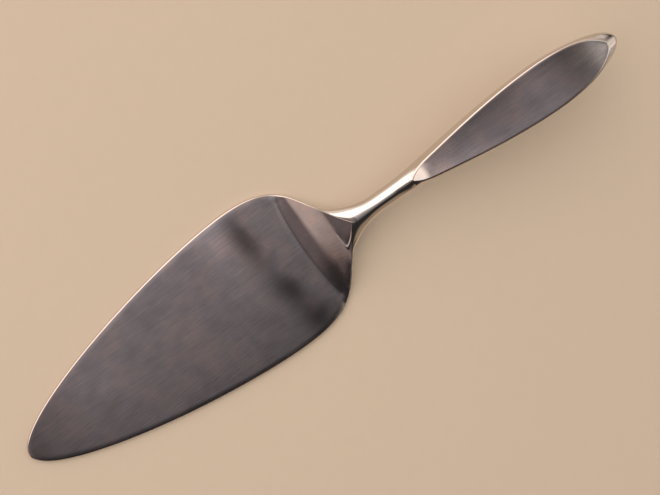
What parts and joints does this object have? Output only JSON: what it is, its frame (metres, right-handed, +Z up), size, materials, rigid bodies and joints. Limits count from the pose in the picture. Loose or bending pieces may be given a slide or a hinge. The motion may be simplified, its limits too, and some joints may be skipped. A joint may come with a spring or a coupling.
{
  "type": "cake server",
  "caption": "Cake server with a flat, brushed, triangular blade with a rounded tip, a ramped root, a slim polished neck and a hollow handle with a long flat facet on top.",
  "frame": {"origin": "middle of the whole length and width, on the surface that the blade's flat rests on", "axes": "+X from the blade's tip to the handle's end, +Z up from the surface, +Y to the left when looking from the blade's tip to the handle"},
  "size_m": [0.26, 0.059, 0.0298],
  "materials": {
    "blade_steel": "brushed along its length",
    "neck_steel": "mirror-polished stainless steel",
    "top_shell_steel": "facet brushed along its length, flanks mirror polished",
    "under_shell_steel": "mirror-polished stainless steel",
    "cement": "dull, set filler"
  },
  "bodies": {
    "root": {"blade": "blade_steel", "neck": "neck_steel", "handle_top_shell": "top_shell_steel", "handle_under_shell": "under_shell_steel", "tang_cement": "cement"}
  },
  "joints": []
}
